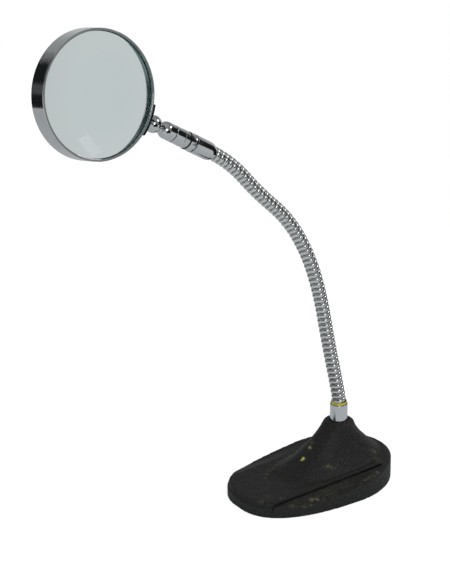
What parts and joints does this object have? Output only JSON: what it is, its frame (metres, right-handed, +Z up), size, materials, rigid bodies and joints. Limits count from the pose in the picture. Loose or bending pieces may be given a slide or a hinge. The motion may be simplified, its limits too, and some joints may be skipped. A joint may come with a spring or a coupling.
{
  "type": "desk magnifier",
  "caption": "Round magnifying lens in a chromed band on a ball joint, held by a stay-put flexible metal arm on a heavy cast-iron foot.",
  "frame": {"origin": "on the foot's underside, on its long axis, 26.9 mm in front of the lower ferrule's axis", "axes": "+Z up; X runs along the foot, and the arm leans toward -X, where the lens is; the lens faces -Y"},
  "size_m": [0.2999, 0.0894, 0.4036],
  "materials": {
    "black_paint": "black paint on cast iron, worn through to ochre at edges and bumps",
    "bright_chrome": "bright, lightly worn chrome plate",
    "band_chrome": "bright chrome plate with fine lathe lines",
    "worn_brass": "worn brass",
    "plain_steel": "plain turned steel",
    "arm_steel": "chromed round wire",
    "wedge_steel": "duller nickelled wire",
    "lens_glass": "clear crown glass, faintly green"
  },
  "bodies": {
    "foot": {"foot_casting": "black_paint", "lower_ferrule": "bright_chrome", "arm_end_ring": "worn_brass", "foot_plug": "plain_steel", "foot_washer": "plain_steel", "foot_nut": "plain_steel", "arm_wire_1": "arm_steel", "wedge_wire_1": "wedge_steel"},
    "arm_2": {"arm_wire_2": "arm_steel", "wedge_wire_2": "wedge_steel"},
    "arm_3": {"arm_wire_3": "arm_steel", "wedge_wire_3": "wedge_steel"},
    "arm_4": {"arm_wire_4": "arm_steel", "wedge_wire_4": "wedge_steel"},
    "arm_5": {"arm_wire_5": "arm_steel", "wedge_wire_5": "wedge_steel"},
    "arm_6": {"arm_wire_6": "arm_steel", "wedge_wire_6": "wedge_steel"},
    "swivel": {"arm_wire_7": "arm_steel", "wedge_wire_7": "wedge_steel", "upper_ferrule": "bright_chrome", "swivel_collar": "bright_chrome", "swivel_barrel": "bright_chrome", "socket_cap": "bright_chrome", "friction_spring": "plain_steel"},
    "ball_race": {"pressure_pad": "worn_brass"},
    "ball": {"swivel_ball": "plain_steel", "ball_stud": "plain_steel"},
    "head": {"rim_ball": "bright_chrome", "rim_saddle": "band_chrome", "saddle_rivets": "band_chrome", "lens_rim": "band_chrome", "retaining_ring": "band_chrome", "lens": "lens_glass"}
  },
  "joints": [
    {"name": "arm_bend_1", "type": "hinge", "parent": "foot", "child": "arm_2", "pos_m": [0.01953, 0, 0.10045], "axis": [0, -1, 0], "range_deg": [-15, 15]},
    {"name": "arm_sway_2", "type": "hinge", "parent": "arm_2", "child": "arm_3", "pos_m": [0.01166, 0, 0.13813], "axis": [0.9823, 0, 0.1874], "range_deg": [-15, 15]},
    {"name": "arm_bend_3", "type": "hinge", "parent": "arm_3", "child": "arm_4", "pos_m": [0.00225, 0, 0.17544], "axis": [0, -1, 0], "range_deg": [-15, 15]},
    {"name": "arm_bend_4", "type": "hinge", "parent": "arm_4", "child": "arm_5", "pos_m": [-0.01298, 0, 0.21073], "axis": [0, -1, 0], "range_deg": [-15, 15]},
    {"name": "arm_sway_5", "type": "hinge", "parent": "arm_5", "child": "arm_6", "pos_m": [-0.03631, 0, 0.24119], "axis": [0.6984, 0, 0.7157], "range_deg": [-15, 15]},
    {"name": "arm_bend_6", "type": "hinge", "parent": "arm_6", "child": "swivel", "pos_m": [-0.06229, 0, 0.26958], "axis": [0, -1, 0], "range_deg": [-15, 15]},
    {"name": "swivel_turn", "type": "hinge", "parent": "swivel", "child": "ball_race", "pos_m": [-0.12914, 0, 0.32061], "axis": [-0.8348, 0, 0.5505], "continuous": true},
    {"name": "swivel_tilt", "type": "hinge", "parent": "ball_race", "child": "ball", "pos_m": [-0.12914, 0, 0.32061], "axis": [0.5505, 0, 0.8348], "range_deg": [-9, 20]},
    {"name": "head_spin", "type": "hinge", "parent": "ball", "child": "head", "pos_m": [-0.12914, 0, 0.32061], "axis": [-0.8304, 0.1028, 0.5476], "continuous": true}
  ]
}
